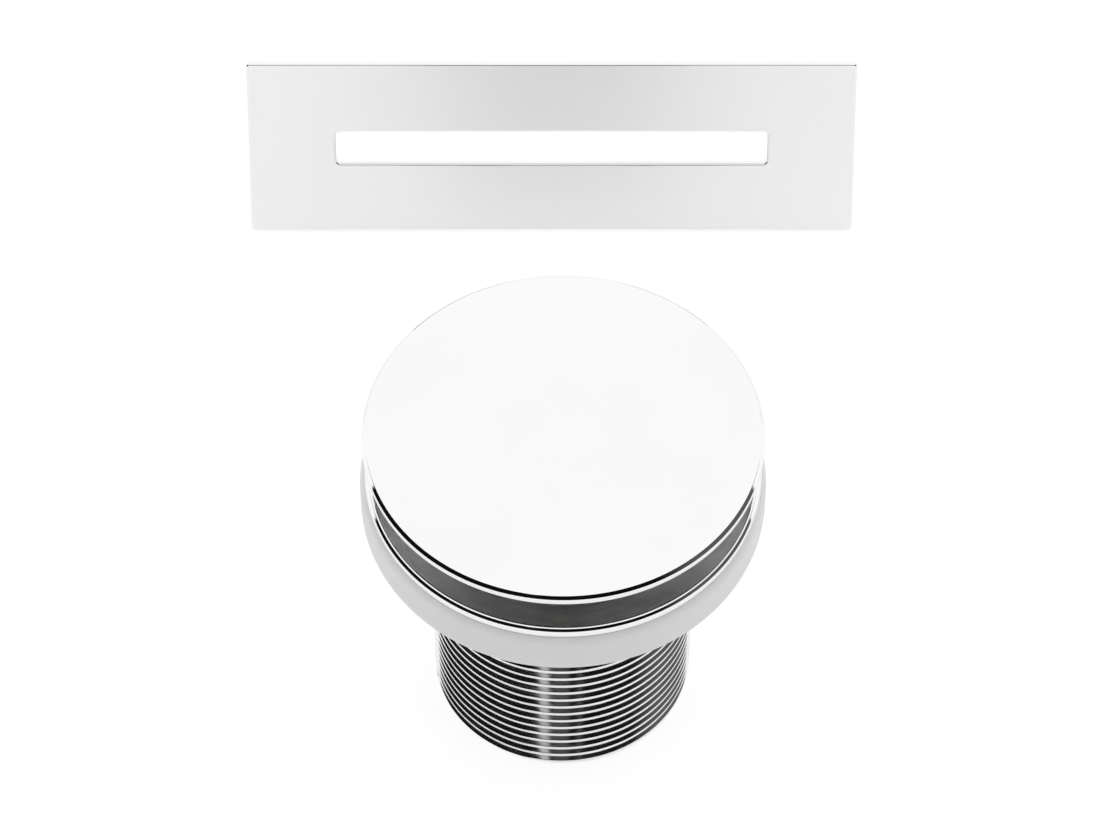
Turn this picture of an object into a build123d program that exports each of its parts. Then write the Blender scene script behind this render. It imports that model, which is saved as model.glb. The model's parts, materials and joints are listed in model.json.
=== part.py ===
from build123d import *

import os
from math import atan2, cos, degrees, radians, sin, tan

# Bath waste and overflow: a push-to-close waste that stands on the end of its tail, and a
# slotted overflow cover that stands behind it, leaning back on its own duct.
# Millimetres, +Z up. The waste's axis is Z and the end of its tail is at the origin.

# Waste body: tail, flange and spider in one casting
TAIL_THREAD_D = 47.8
TAIL_BORE_D = 41.0
TAIL_LENGTH = 47.3
TAIL_CHAMFER = 0.6
THREAD_PITCH = 2.309
THREAD_FLANK = 27.5
NECK_D = 46.2
FLANGE_D = 70.6
FLANGE_WALL = 1.5
RIM_EDGE = 1.8
RIM_LAND = 1.1
RIM_ROUND = 0.75
DISH_DEPTH = 10.7
DISH_ROUND = 0.9
THROAT_ROUND = 2.5
HUB_D = 18.0
SPIDER_HEIGHT = 6.0
ARM_WIDTH = 4.0
ARM_ROUND = 1.2
ARM_ROOT = 1.0

# Flange gasket, from its seat on the bath up to the rim
GASKET_D = 72.4
GASKET_HEIGHT = 12.0
GASKET_FOOT_ROUND = 5.6
GASKET_TOP_ROUND = 1.6

# Plug
PLUG_TRAVEL = 8.0
CAP_D = 71.0
CAP_THICKNESS = 1.9
CAP_TOP_ROUND = 1.2
CAP_LOWER_ROUND = 0.4
BOSS_D = 15.0
BOSS_LENGTH = 4.5
BOSS_ROOF = 1.5
CARRIER_D = 52.0
CARRIER_HEIGHT = 3.2
SEAL_D = 60.0
SEAL_HEIGHT = 5.0
SEAL_WEB = 1.6
SEAL_WEB_DEPTH = 2.4
SEAL_LIP = 1.4

# Push stem and its lock nut
STEM_D = 8.0
STEM_CHAMFER = 0.5
STEM_NUT_ACROSS = 13.0
STEM_NUT_HEIGHT = 4.0
CROWN_D = 9.2
CROWN_BORE_D = 6.8
CROWN_HEIGHT = 3.0

# Click cartridge
BARREL_D = 16.0
BARREL_BORE_D = 12.6
BARREL_FLOOR = 2.5
BARREL_HEX_ACROSS = 16.0
BARREL_HEX_HEIGHT = 5.0
SHANK_D = 10.0
SHANK_TAIL = 1.5
GLAND_ACROSS = 14.0
GLAND_HEAD = 3.0
GLAND_SKIRT = 3.8
WIPER_WIRE = 1.4
LOCK_NUT_ACROSS = 17.0
LOCK_NUT_HEIGHT = 5.0
WASHER_D = 18.0
WASHER_THICKNESS = 1.0
SEAT_THICKNESS = 0.8
SEAT_BORE_D = 7.0
RIB_COUNT = 4
RIB_WIDTH = 3.6
RIB_HEIGHT = 1.4
RIB_ROOT = 0.8
RIB_SLANT = 1.2
LUG_WIDTH = 3.2
LUG_HEIGHT = 4.0
LUG_FOOT = 1.0
ROTOR_HEIGHT = 6.0
SPIGOT_LENGTH = 3.0
TOOTH_COUNT = 8
TOOTH_HEIGHT = 1.0

# Return spring
SPRING_WIRE = 0.9
SPRING_SIDES = 8
SPRING_D = 8.8
SPRING_TURNS = 5
SPRING_PRESSED = 5.6

# Overflow cover, measured along its own plate
PLATE_WIDTH = 121.4
PLATE_HEIGHT = 37.2
PLATE_THICKNESS = 1.5
PLATE_CORNER = 0.8
PLATE_EDGE = 0.25
SLOT_WIDTH = 86.5
SLOT_HEIGHT = 7.2
SLOT_CORNER = 0.9
COLLAR_WALL = 1.4
COLLAR_LENGTH = 5.0
DUCT_WIDTH = 96.0
DUCT_LENGTH = 14.0
DUCT_WALL = 1.8
DUCT_CORNER = 4.0
DUCT_TOP_INSET = 8.0
DUCT_FOOT_INSET = 6.0
FRAME_INSET = 3.2
FRAME_THICKNESS = 3.0
GRIP_WALL = 0.8
GRIP_FIN = 1.0
GRIP_FIN_THICKNESS = 1.0
GRIP_FIN_COUNT = 3
GRIP_LENGTH = 5.0

# Where the overflow stands: the front of its lower edge
OVERFLOW_X = -2.0
OVERFLOW_Y = 103.0

# Clearances
RUNNING_GAP = 0.1
FIT_GAP = 0.1
THREAD_GAP = 0.3
SEAL_GAP = 0.3
STOP_GAP = 0.3
CLOSED_GAP = 0.5
NUT_GAP = 0.6
LUG_GAP = 0.4
RIB_GAP = 0.5
TOOTH_GAP = 0.45

# Levels and radii worked out from the sizes above
THREAD_R = TAIL_THREAD_D / 2
BORE_R = TAIL_BORE_D / 2
THREAD_DEPTH = min(0.64 * THREAD_PITCH, (THREAD_R - BORE_R) / 2)
THREAD_HALF = THREAD_DEPTH * tan(radians(THREAD_FLANK))
THREAD_COUNT = int((TAIL_LENGTH - TAIL_CHAMFER) / THREAD_PITCH)
NECK_R = NECK_D / 2
FLANGE_R = FLANGE_D / 2
RIM_UNDER_Z = TAIL_LENGTH + GASKET_HEIGHT
RIM_Z = RIM_UNDER_Z + RIM_EDGE
DISH_R = FLANGE_R - RIM_LAND
DISH_SLOPE = atan2(DISH_DEPTH, DISH_R - BORE_R)
CAP_Z = RIM_Z + CLOSED_GAP + PLUG_TRAVEL
BOSS_Z = CAP_Z - BOSS_LENGTH
STEM_NUT_Z = BOSS_Z - STEM_NUT_HEIGHT
GLAND_TOP_Z = STEM_NUT_Z - PLUG_TRAVEL - NUT_GAP
BARREL_TOP_Z = GLAND_TOP_Z - GLAND_HEAD
GLAND_FOOT_Z = BARREL_TOP_Z - GLAND_SKIRT
CROWN_TOP_Z = GLAND_FOOT_Z - STOP_GAP
ROTOR_TOP_Z = CROWN_TOP_Z - CROWN_HEIGHT
ROTOR_Z = ROTOR_TOP_Z - ROTOR_HEIGHT
LUG_Z = ROTOR_Z + LUG_FOOT
RIB_Z = LUG_Z + LUG_HEIGHT - PLUG_TRAVEL + RIB_GAP
SEAT_TOP_Z = ROTOR_Z - PLUG_TRAVEL - SPRING_PRESSED
BARREL_FLOOR_Z = SEAT_TOP_Z - SEAT_THICKNESS
BARREL_Z = BARREL_FLOOR_Z - BARREL_FLOOR
HUB_TOP_Z = BARREL_Z - WASHER_THICKNESS
HUB_Z = HUB_TOP_Z - SPIDER_HEIGHT
LOCK_NUT_TOP_Z = HUB_Z - WASHER_THICKNESS
LOCK_NUT_Z = LOCK_NUT_TOP_Z - LOCK_NUT_HEIGHT
SHANK_Z = LOCK_NUT_Z - SHANK_TAIL
STEM_R = STEM_D / 2
BARREL_BORE_R = BARREL_BORE_D / 2
LUG_R = BARREL_BORE_R - LUG_GAP
RIB_R = BARREL_BORE_R - RIB_HEIGHT
PLATE_BACK = PLATE_THICKNESS
DUCT_HEIGHT = PLATE_HEIGHT - DUCT_TOP_INSET - DUCT_FOOT_INSET
DUCT_Z = DUCT_FOOT_INSET + DUCT_HEIGHT / 2
LEAN = degrees(atan2(DUCT_FOOT_INSET, DUCT_LENGTH))


def dish_height(radius):
    """Height of the dish's cone at a radius."""
    return RIM_Z - (DISH_R - radius) * tan(DISH_SLOPE)


def turned(points, rounds=None):
    """A solid turned about Z from a closed outline of (radius, height) corners, each rounded."""
    outline = FilletPolyline(*points, radius=rounds or 0, close=True)
    return revolve(Plane.XZ * make_face(outline), Axis.Z)


def hexagon(across, height, level):
    """A hexagonal prism standing on a level."""
    return Pos(0, 0, level) * extrude(RegularPolygon(across / 2, 6, major_radius=False), height)


def drill(solid, diameter):
    """The solid with a hole right through it along Z."""
    box = solid.bounding_box()
    return solid - Pos(0, 0, box.center().Z) * Cylinder(diameter / 2, 2 * box.size.Z)


def washer(outer, inner, thickness, level):
    """A flat washer standing on a level."""
    return drill(Pos(0, 0, level + thickness / 2) * Cylinder(outer / 2, thickness), inner)


def nut(across, height, hole, level):
    """A hexagon nut with its corners turned off at both ends, standing on a level."""
    corner_r = across / 2 / cos(radians(30))
    bevel = corner_r - across / 2
    drop = bevel * tan(radians(30))
    blank = turned(
        [
            (0, level),
            (across / 2, level),
            (corner_r, level + drop),
            (corner_r, level + height - drop),
            (across / 2, level + height),
            (0, level + height),
        ]
    )
    return drill(hexagon(across, height, level) & blank, hole)


def radial_block(outline, inner_r, outer_r):
    """An outline of (sideways, height) corners, run outwards along X between two radii."""
    plane = Plane((inner_r, 0, 0), x_dir=(0, 1, 0), z_dir=(1, 0, 0))
    return extrude(plane * make_face(Polyline(*outline, close=True)), outer_r - inner_r)


def around(solid, count, first=0):
    """Copies of a solid spaced evenly round Z."""
    return [Rot(0, 0, first + 360 / count * i) * solid for i in range(count)]


def thread_corners():
    """Corners of the tail's thread from its end up: flat crests between V grooves, as rings."""
    corners = []
    for i in range(THREAD_COUNT):
        groove_top = TAIL_CHAMFER + (i + 1) * THREAD_PITCH
        corners += [
            (THREAD_R, groove_top - 2 * THREAD_HALF),
            (THREAD_R - THREAD_DEPTH, groove_top - THREAD_HALF),
            (THREAD_R, groove_top),
        ]
    return corners


def make_waste_body():
    """Dished flange, neck and threaded tail turned as one, with a crossed spider and its hub."""
    thread = thread_corners()
    under_step = FLANGE_WALL / cos(DISH_SLOPE)
    under_r = DISH_R - (RIM_EDGE - under_step) / tan(DISH_SLOPE)
    shell = turned(
        [
            (BORE_R, 0),
            (THREAD_R - TAIL_CHAMFER, 0),
            (THREAD_R, TAIL_CHAMFER),
            *thread,
            (THREAD_R, TAIL_LENGTH),
            (NECK_R, TAIL_LENGTH),
            (NECK_R, dish_height(NECK_R) - under_step),
            (under_r, RIM_UNDER_Z),
            (FLANGE_R, RIM_UNDER_Z),
            (FLANGE_R, RIM_Z),
            (DISH_R, RIM_Z),
            (BORE_R, RIM_Z - DISH_DEPTH),
        ],
        [0] * (len(thread) + 8) + [RIM_ROUND, DISH_ROUND, THROAT_ROUND],
    )
    bar = Box(2 * (BORE_R + ARM_ROOT), ARM_WIDTH, SPIDER_HEIGHT)
    bar = fillet(bar.edges().filter_by(Axis.X).group_by(Axis.Z)[-1], ARM_ROUND)
    middle = Pos(0, 0, HUB_Z + SPIDER_HEIGHT / 2)
    spider = Cylinder(HUB_D / 2, SPIDER_HEIGHT) + [Rot(0, 0, turn) * bar for turn in (45, 135)]
    hole = Cylinder(SHANK_D / 2 + FIT_GAP, 2 * SPIDER_HEIGHT)
    return shell + middle * (spider - hole)


def make_flange_gasket():
    """A thick ring with a rounded foot, its top coned to sit under the flange."""
    bore_r = THREAD_R + THREAD_GAP
    gasket_r = GASKET_D / 2
    top_z = RIM_UNDER_Z - FIT_GAP
    under_step = (FLANGE_WALL + FIT_GAP) / cos(DISH_SLOPE)
    cone_r = DISH_R - (RIM_Z - top_z - under_step) / tan(DISH_SLOPE)
    ring = turned(
        [(bore_r, TAIL_LENGTH), (gasket_r, TAIL_LENGTH), (gasket_r, top_z), (bore_r, top_z)],
        [0, GASKET_FOOT_ROUND, GASKET_TOP_ROUND, 0],
    )
    return ring - turned([(0, dish_height(0) - under_step), (cone_r, top_z), (0, top_z)])


def make_cartridge_barrel():
    """A tube on a threaded shank, with a hexagon foot and slanted guide ribs inside."""
    tube = turned(
        [
            (0, SHANK_Z),
            (SHANK_D / 2 - STEM_CHAMFER, SHANK_Z),
            (SHANK_D / 2, SHANK_Z + STEM_CHAMFER),
            (SHANK_D / 2, BARREL_Z),
            (BARREL_D / 2, BARREL_Z),
            (BARREL_D / 2, BARREL_TOP_Z),
            (BARREL_BORE_R, BARREL_TOP_Z),
            (BARREL_BORE_R, BARREL_FLOOR_Z),
            (0, BARREL_FLOOR_Z),
        ]
    )
    foot = hexagon(BARREL_HEX_ACROSS, BARREL_HEX_HEIGHT, BARREL_Z)
    bore = Pos(0, 0, BARREL_FLOOR_Z + BARREL_HEX_HEIGHT) * Cylinder(BARREL_BORE_R, 2 * BARREL_HEX_HEIGHT)
    half = RIB_WIDTH / 2
    outline = [
        (-half, RIB_Z),
        (half, RIB_Z + RIB_SLANT),
        (half, GLAND_FOOT_Z - STOP_GAP),
        (-half, GLAND_FOOT_Z - STOP_GAP),
    ]
    rib = radial_block(outline, RIB_R, BARREL_BORE_R + RIB_ROOT)
    return tube + (foot - bore) + around(rib, RIB_COUNT, 180 / RIB_COUNT)


def make_barrel_gland():
    """A hexagon-headed gland, with a groove inside for the stem's wiper."""
    hole_r = STEM_R + RUNNING_GAP
    groove_r = hole_r + WIPER_WIRE + FIT_GAP
    groove_half = WIPER_WIRE / 2 + FIT_GAP
    groove_z = GLAND_FOOT_Z + GLAND_SKIRT / 2
    skirt_r = BARREL_BORE_R - FIT_GAP
    skirt = washer(2 * skirt_r, 2 * hole_r, GLAND_SKIRT, GLAND_FOOT_Z)
    groove = washer(2 * groove_r, hole_r, 2 * groove_half, groove_z - groove_half)
    head = nut(GLAND_ACROSS, GLAND_HEAD, 2 * hole_r, BARREL_TOP_Z)
    return (skirt + head) - groove


def make_stem_wiper():
    """An O-ring in the gland's groove."""
    centre_r = STEM_R + RUNNING_GAP + WIPER_WIRE / 2 + FIT_GAP / 2
    return Pos(0, 0, GLAND_FOOT_Z + GLAND_SKIRT / 2) * Torus(centre_r, WIPER_WIRE / 2)


def make_return_spring():
    """Wire coiled from the seat washer up to the rotor, many-sided in section."""
    height = ROTOR_Z - SEAT_TOP_Z - SPRING_WIRE
    path = Helix(height / SPRING_TURNS, height, (SPRING_D - SPRING_WIRE) / 2)
    section = Plane(path @ 0, z_dir=path % 0) * RegularPolygon(SPRING_WIRE / 2, SPRING_SIDES)
    return Pos(0, 0, SEAT_TOP_Z + SPRING_WIRE / 2) * sweep(section, path, is_frenet=True)


def lugs(level, height, inner_r, slant):
    """The lugs that run in the slots between the guide ribs, with slanted tops."""
    half = LUG_WIDTH / 2
    outline = [(-half, level), (half, level), (half, level + height), (-half, level + height - slant)]
    return around(radial_block(outline, inner_r, LUG_R), RIB_COUNT)


def tooth_gaps(level, reach, first):
    """The wedges between crown teeth: upright V shapes that end in a point at a level."""
    half = CROWN_BORE_D / 2 * radians(180 / TOOTH_COUNT)
    outline = [(0, level), (half, level + reach), (-half, level + reach)]
    return around(radial_block(outline, 0, CROWN_D), TOOTH_COUNT, first)


def make_index_rotor():
    """A hollow-topped rotor with lugs, crown teeth on top and a spigot for the spring."""
    spigot_r = SPRING_D / 2 - SPRING_WIRE - SEAL_GAP
    crown_r = CROWN_D / 2
    body = turned(
        [
            (0, ROTOR_Z - SPIGOT_LENGTH),
            (spigot_r, ROTOR_Z - SPIGOT_LENGTH),
            (spigot_r, ROTOR_Z),
            (crown_r, ROTOR_Z),
            (crown_r, ROTOR_TOP_Z),
            (CROWN_BORE_D / 2, ROTOR_TOP_Z),
            (CROWN_BORE_D / 2, ROTOR_TOP_Z - 2 * TOOTH_HEIGHT),
            (0, ROTOR_TOP_Z - 2 * TOOTH_HEIGHT),
        ]
    )
    body += lugs(LUG_Z, LUG_HEIGHT, CROWN_BORE_D / 2, RIB_SLANT)
    return body - tooth_gaps(ROTOR_TOP_Z - TOOTH_HEIGHT, TOOTH_HEIGHT, 180 / TOOTH_COUNT)


def make_push_stem():
    """A rod with a hollow toothed crown at its foot and lugs that keep it from turning."""
    top_z = CAP_Z + CAP_THICKNESS - BOSS_ROOF - FIT_GAP
    foot_z = ROTOR_TOP_Z - TOOTH_HEIGHT + TOOTH_GAP
    rod = turned(
        [
            (0, foot_z + 2 * TOOTH_HEIGHT),
            (CROWN_BORE_D / 2, foot_z + 2 * TOOTH_HEIGHT),
            (CROWN_BORE_D / 2, foot_z),
            (CROWN_D / 2, foot_z),
            (CROWN_D / 2, CROWN_TOP_Z),
            (STEM_R, CROWN_TOP_Z),
            (STEM_R, top_z - STEM_CHAMFER),
            (STEM_R - STEM_CHAMFER, top_z),
            (0, top_z),
        ]
    )
    upside_down = Pos(0, 0, 2 * foot_z + TOOTH_HEIGHT) * Rot(180, 0, 0)
    gaps = [upside_down * gap for gap in tooth_gaps(foot_z, TOOTH_HEIGHT, 0)]
    guide_z = foot_z + TOOTH_HEIGHT + TOOTH_GAP
    guides = lugs(guide_z, CROWN_TOP_Z - guide_z, CROWN_BORE_D / 2, 0)
    return (rod - gaps) + guides


def make_plug_cap():
    """A flat disc with rounded edges and a blind-bored boss under its middle."""
    disc_r = CAP_D / 2
    boss_r = BOSS_D / 2
    hole_r = STEM_R + FIT_GAP
    top_z = CAP_Z + CAP_THICKNESS
    roof_z = top_z - BOSS_ROOF
    return turned(
        [
            (0, roof_z),
            (hole_r, roof_z),
            (hole_r, BOSS_Z),
            (boss_r, BOSS_Z),
            (boss_r, CAP_Z),
            (disc_r, CAP_Z),
            (disc_r, top_z),
            (0, top_z),
        ],
        [0, 0, 0, 0, 0, CAP_LOWER_ROUND, CAP_TOP_ROUND, 0],
    )


def seal_web():
    """Half height, middle level and inner radius of the seal's web in its groove."""
    return SEAL_WEB / 2, CAP_Z - CARRIER_HEIGHT / 2, CARRIER_D / 2 - SEAL_WEB_DEPTH


def make_seal_carrier():
    """A moulded ring round the cap's boss, grooved at its edge for the seal."""
    half, middle, web_r = seal_web()
    bore_d = BOSS_D + 2 * FIT_GAP
    ring = washer(CARRIER_D, bore_d, CARRIER_HEIGHT, CAP_Z - CARRIER_HEIGHT)
    return ring - washer(CARRIER_D + SEAL_WEB, 2 * web_r, 2 * half, middle - half)


def make_plug_seal():
    """A ring whose web sits in the carrier, with a lip coned to close on the dish."""
    half, middle, web_r = seal_web()
    inner_r = CARRIER_D / 2 + FIT_GAP
    outer_r = SEAL_D / 2
    top_z = CAP_Z - SEAL_GAP
    foot_z = top_z - SEAL_HEIGHT
    lift = PLUG_TRAVEL + SEAL_GAP / cos(DISH_SLOPE)
    edge_z = dish_height(outer_r) + lift
    foot_r = outer_r - (edge_z - foot_z) / tan(DISH_SLOPE)
    return turned(
        [
            (web_r + FIT_GAP, middle - half + FIT_GAP),
            (inner_r, middle - half + FIT_GAP),
            (foot_r - SEAL_LIP, foot_z),
            (foot_r, foot_z),
            (outer_r, edge_z),
            (outer_r, top_z),
            (inner_r, top_z),
            (inner_r, middle + half - FIT_GAP),
            (web_r + FIT_GAP, middle + half - FIT_GAP),
        ]
    )


def on_overflow(solid):
    """A solid modelled with its plate upright, leaned back and stood in its place."""
    rise = PLATE_BACK * sin(radians(LEAN))
    return Pos(OVERFLOW_X, OVERFLOW_Y, rise) * Rot(-LEAN, 0, 0) * solid


def slab(width, height, corner, middle, front, depth):
    """A rectangle with rounded corners, centred at a height, run back from a depth."""
    plane = Plane((0, front, middle), x_dir=(1, 0, 0), z_dir=(0, -1, 0))
    return extrude(plane * RectangleRounded(width, height, corner), -depth)


def duct_slab(grow, front, depth):
    """A slab of the duct's outer shape, grown on every side."""
    corner = DUCT_CORNER + grow
    return slab(DUCT_WIDTH + 2 * grow, DUCT_HEIGHT + 2 * grow, corner, DUCT_Z, front, depth)


def make_overflow_plate():
    """The slotted cover with softened front edges and a collar that enters the duct."""
    middle = PLATE_HEIGHT / 2
    plate = slab(PLATE_WIDTH, PLATE_HEIGHT, PLATE_CORNER, middle, 0, PLATE_THICKNESS)
    plate = fillet(plate.faces().sort_by(Axis.Y)[0].edges(), PLATE_EDGE)
    collar_r = -DUCT_WALL - FIT_GAP
    collar = duct_slab(collar_r, 0, COLLAR_LENGTH) - duct_slab(collar_r - COLLAR_WALL, 0, COLLAR_LENGTH)
    slot = slab(SLOT_WIDTH, SLOT_HEIGHT, SLOT_CORNER, middle, -PLATE_THICKNESS, 3 * PLATE_THICKNESS)
    return on_overflow((plate - slot) + Pos(0, PLATE_BACK, 0) * collar)


def make_overflow_duct():
    """A moulded rectangular tube pushed over the cover's collar."""
    tube = duct_slab(0, PLATE_BACK, DUCT_LENGTH) - duct_slab(-DUCT_WALL, PLATE_BACK, DUCT_LENGTH)
    return on_overflow(tube)


def make_overflow_gasket():
    """A frame-shaped seal round the duct, behind the cover."""
    width = PLATE_WIDTH - 2 * FRAME_INSET
    height = PLATE_HEIGHT - 2 * FRAME_INSET
    frame = slab(width, height, DUCT_CORNER, PLATE_HEIGHT / 2, PLATE_BACK, FRAME_THICKNESS)
    return on_overflow(frame - duct_slab(FIT_GAP, PLATE_BACK, FRAME_THICKNESS))


def make_overflow_grip():
    """A rubber band round the duct with fins that grip the bath's cut-out."""
    front = PLATE_BACK + FRAME_THICKNESS
    pitch = (GRIP_LENGTH - GRIP_FIN_THICKNESS) / (GRIP_FIN_COUNT - 1)
    band = duct_slab(FIT_GAP + GRIP_WALL, front, GRIP_LENGTH)
    fins = [
        duct_slab(FIT_GAP + GRIP_WALL + GRIP_FIN, front + pitch * i, GRIP_FIN_THICKNESS)
        for i in range(GRIP_FIN_COUNT)
    ]
    return on_overflow((band + fins) - duct_slab(FIT_GAP, front, GRIP_LENGTH))


shank_hole_d = SHANK_D + 2 * FIT_GAP
stem_hole_d = STEM_D + 2 * FIT_GAP
pieces = {
    "waste_body": make_waste_body(),
    "flange_gasket": make_flange_gasket(),
    "cartridge_barrel": make_cartridge_barrel(),
    "barrel_washer": washer(WASHER_D, shank_hole_d, WASHER_THICKNESS, HUB_TOP_Z),
    "cartridge_lock_washer": washer(WASHER_D, shank_hole_d, WASHER_THICKNESS, LOCK_NUT_TOP_Z),
    "cartridge_lock_nut": nut(LOCK_NUT_ACROSS, LOCK_NUT_HEIGHT, shank_hole_d, LOCK_NUT_Z),
    "barrel_gland": make_barrel_gland(),
    "stem_wiper": make_stem_wiper(),
    "spring_seat": washer(2 * LUG_R, SEAT_BORE_D, SEAT_THICKNESS, BARREL_FLOOR_Z),
    "return_spring": make_return_spring(),
    "plug_cap": make_plug_cap(),
    "seal_carrier": make_seal_carrier(),
    "plug_seal": make_plug_seal(),
    "push_stem": make_push_stem(),
    "stem_lock_nut": nut(STEM_NUT_ACROSS, STEM_NUT_HEIGHT, stem_hole_d, STEM_NUT_Z),
    "index_rotor": make_index_rotor(),
    "overflow_plate": make_overflow_plate(),
    "overflow_gasket": make_overflow_gasket(),
    "overflow_duct": make_overflow_duct(),
    "overflow_grip": make_overflow_grip(),
}

os.makedirs("parts", exist_ok=True)
for name, solid in pieces.items():
    export_step(solid, f"parts/{name}.step")
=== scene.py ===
"""Looks of a push-to-close bath waste and its slotted overflow cover.

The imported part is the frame. Each operator dresses one piece or group of like pieces, in metres, in
that frame.
"""

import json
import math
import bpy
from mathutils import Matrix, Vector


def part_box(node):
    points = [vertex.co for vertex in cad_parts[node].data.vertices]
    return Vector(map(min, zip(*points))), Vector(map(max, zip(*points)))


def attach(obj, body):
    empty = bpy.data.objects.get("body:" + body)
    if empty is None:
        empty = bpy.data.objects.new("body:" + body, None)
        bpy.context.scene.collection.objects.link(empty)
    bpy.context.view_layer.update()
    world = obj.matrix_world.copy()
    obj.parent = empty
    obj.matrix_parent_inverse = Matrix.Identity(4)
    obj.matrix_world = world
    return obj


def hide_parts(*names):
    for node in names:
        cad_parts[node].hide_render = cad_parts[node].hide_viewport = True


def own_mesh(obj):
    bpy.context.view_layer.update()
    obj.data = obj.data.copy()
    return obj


bl_info = {
    "name": "Bath waste and overflow",
    "version": (1, 0, 0),
    "blender": (4, 5, 0),
    "location": "View3D > Sidebar > Bath waste",
    "description": "Dresses a push-to-close bath waste and its slotted overflow cover",
    "category": "Object",
}

import bpy
import numpy as np
from bpy.props import FloatProperty, FloatVectorProperty, PointerProperty

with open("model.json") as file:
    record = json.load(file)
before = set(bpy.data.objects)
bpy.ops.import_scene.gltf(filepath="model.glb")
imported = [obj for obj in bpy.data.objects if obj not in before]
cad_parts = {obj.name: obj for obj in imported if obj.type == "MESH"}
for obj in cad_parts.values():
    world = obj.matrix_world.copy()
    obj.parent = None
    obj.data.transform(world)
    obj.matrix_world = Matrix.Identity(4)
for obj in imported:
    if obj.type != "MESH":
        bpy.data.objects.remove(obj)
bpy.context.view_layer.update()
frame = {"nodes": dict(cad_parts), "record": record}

MM = 0.001
DEGREE = math.pi / 180
FIXED = "fixed_parts"
PLUG = "plug"
BODY_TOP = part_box("waste_body")[1]
GASKET_LOW, GASKET_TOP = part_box("flange_gasket")
CAP_LOW, CAP_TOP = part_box("plug_cap")
CARRIER_LOW, CARRIER_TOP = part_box("seal_carrier")
SEAL_LOW, SEAL_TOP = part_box("plug_seal")
SPRING_LOW, SPRING_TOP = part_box("return_spring")
SPIGOT = next(m for m in frame["record"]["mounts"] if m["name"] == "overflow_spigot")

TRAVEL = 8 * MM  # fall of the plug when it is pushed shut
FIT = 0.1 * MM  # gap between pieces that fit together
SHANK_HOLE = 5.1 * MM  # radius of the holes round the cartridge's shank
STEM_HOLE = 4.1 * MM  # radius of the holes round the stem
FLANK = 27.5 * DEGREE  # lean of a thread's flanks
HEX_HALF = 30 * DEGREE  # from the middle of a hexagon's flat to its corner
HEX_COLUMNS = 144
HEX_CREASE = 20.0
QUARTERS = [(45 + 90 * i) * DEGREE for i in range(4)]  # turns of the spider's arms and the guide ribs
GROW = np.array([2.0, 2.0, 1.0, 0.0, 0.0])  # a loop's row made larger all round
SINK = np.array([0.0, 0.0, 0.0, 0.0, 1.0])  # a loop's row moved back


# Sizes and colours


def length(name, description, default):
    """A length property, in metres."""
    return FloatProperty(
        name=name, description=description, default=default, min=0.0, precision=5, unit="LENGTH"
    )


def colour(name, description, default):
    """A colour property, as linear red, green and blue."""
    return FloatVectorProperty(
        name=name, description=description, default=default, size=3, min=0.0, max=1.0, subtype="COLOR"
    )


def amount(name, description, default):
    """A plain factor."""
    return FloatProperty(name=name, description=description, default=default, min=0.0, subtype="FACTOR")


class WasteSizes(bpy.types.PropertyGroup):
    """Sizes of the waste's turned and moulded pieces."""

    thread_r: length("Thread radius", "Outer radius of the tail's thread", 23.9 * MM)
    root_r: length("Root radius", "Radius between the thread's turns", 22.42 * MM)
    bore_r: length("Bore radius", "Radius of the tail's waterway", 20.5 * MM)
    neck_r: length("Neck radius", "Plain neck inside the gasket", 23.1 * MM)
    pitch: length("Thread pitch", "Rise of the thread in one turn", 2.309 * MM)
    crest: amount("Crest width", "Flat of the thread's crest as a share of the pitch", 0.33)
    dish_r: length("Dish radius", "Radius where the dish meets the rim", 34.2 * MM)
    dish_depth: length("Dish depth", "Fall of the dish from the rim to the throat", 10.7 * MM)
    wall: length("Flange wall", "Thickness of the dish", 1.5 * MM)
    rim_edge: length("Rim height", "Height of the rim's outer edge", 1.8 * MM)
    bead: length("Rim bead", "Width of the bead on the rim's outer edge", 1.0 * MM)
    throat_round: length("Throat round", "Radius where the dish turns into the bore", 2.5 * MM)
    hub_r: length("Hub radius", "Radius of the spider's hub", 9.0 * MM)
    hub_z: length("Hub level", "Underside of the spider", 12.5 * MM)
    hub_height: length("Hub height", "Height of the spider", 6.0 * MM)
    arm_width: length("Arm width", "Width of each spider arm", 4.0 * MM)
    gasket_foot: length("Gasket foot", "Radius of the gasket's lower edge", 5.6 * MM)
    gasket_top: length("Gasket top", "Radius of the gasket's upper edge", 1.6 * MM)
    cap_thickness: length("Cap thickness", "Thickness of the disc", 1.9 * MM)
    cap_bevel: length("Cap bevel", "Width of the bevel on the disc's upper edge", 0.62 * MM)


class OverflowSizes(bpy.types.PropertyGroup):
    """Sizes of the overflow cover and what stands behind it."""

    plate_width: length("Plate width", "Width of the cover", 121.4 * MM)
    plate_height: length("Plate height", "Height of the cover along its slope", 37.2 * MM)
    plate_thickness: length("Plate thickness", "Thickness of the cover", 1.5 * MM)
    plate_corner: length("Plate corner", "Corner radius of the cover", 0.8 * MM)
    plate_edge: length("Plate edge", "Radius of the cover's front edges", 0.4 * MM)
    slot_width: length("Slot width", "Width of the slot", 86.5 * MM)
    slot_height: length("Slot height", "Height of the slot", 7.2 * MM)
    slot_corner: length("Slot corner", "Corner radius of the slot", 0.9 * MM)
    duct_width: length("Duct width", "Outer width of the duct", 96.0 * MM)
    duct_height: length("Duct height", "Outer height of the duct", 23.2 * MM)
    duct_middle: length("Duct middle", "Height of the duct's middle up the cover", 17.6 * MM)
    duct_length: length("Duct length", "Length of the duct behind the cover", 14.0 * MM)
    duct_wall: length("Duct wall", "Wall of the duct", 1.8 * MM)
    duct_corner: length("Duct corner", "Corner radius of the duct", 4.0 * MM)


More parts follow.
